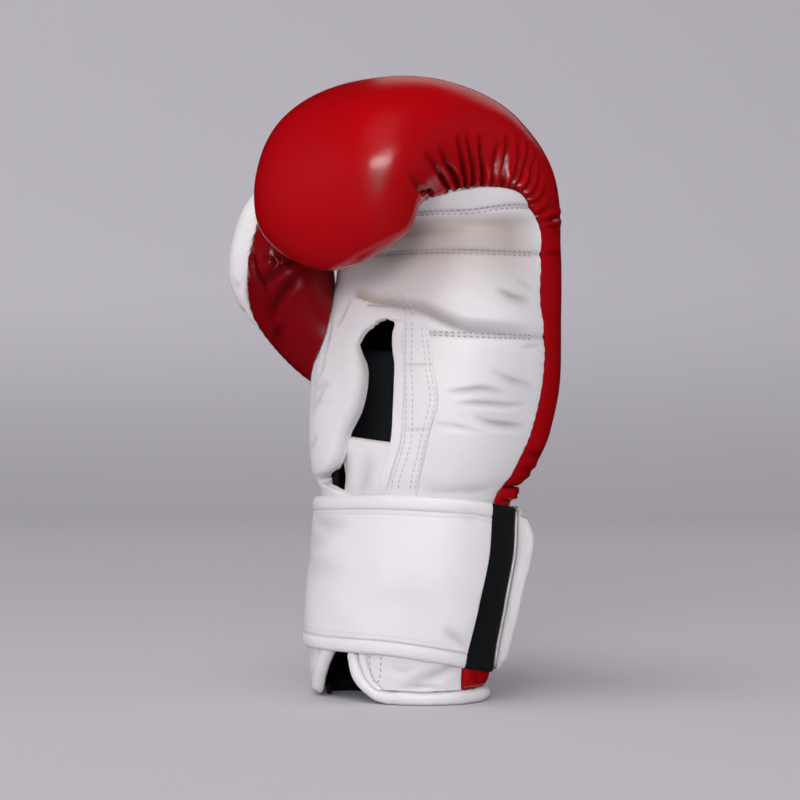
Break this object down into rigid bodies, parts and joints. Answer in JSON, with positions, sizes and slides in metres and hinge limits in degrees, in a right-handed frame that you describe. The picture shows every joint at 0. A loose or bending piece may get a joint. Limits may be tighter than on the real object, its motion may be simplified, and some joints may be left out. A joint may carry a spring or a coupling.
{
  "type": "karate glove",
  "caption": "Padded left-hand striking glove with a gathered leather fist, side thumb, slit palm, open cuff and a wide elastic hook-and-loop wrist strap.",
  "frame": {"origin": "on the floor under the middle of the glove's box, the glove standing on its cuff", "axes": "+Z runs from the cuff up to the knuckles, the palm faces -Y, the back of the hand +Y and the little finger's side +X"},
  "size_m": [0.1552, 0.1416, 0.2905],
  "materials": {
    "red_leather": "smooth semi-gloss",
    "white_leather": "fine grain, satin",
    "black_elastic": "matt ribbed weave",
    "black_lining": "matt"
  },
  "bodies": {
    "root": {"knuckle_shell": "red_leather", "palm_panel": "white_leather", "slit_binding": "white_leather", "palm_facing": "white_leather", "tongue": "white_leather", "hand_lining": "black_lining", "thumb_inner": "red_leather", "thumb_outer": "white_leather", "cuff_back": "red_leather", "cuff_palm": "white_leather", "cuff_thumb_side": "white_leather", "cuff_binding": "white_leather", "strap_panel": "white_leather", "strap_elastic": "black_elastic", "strap_tail": "white_leather"}
  },
  "joints": []
}
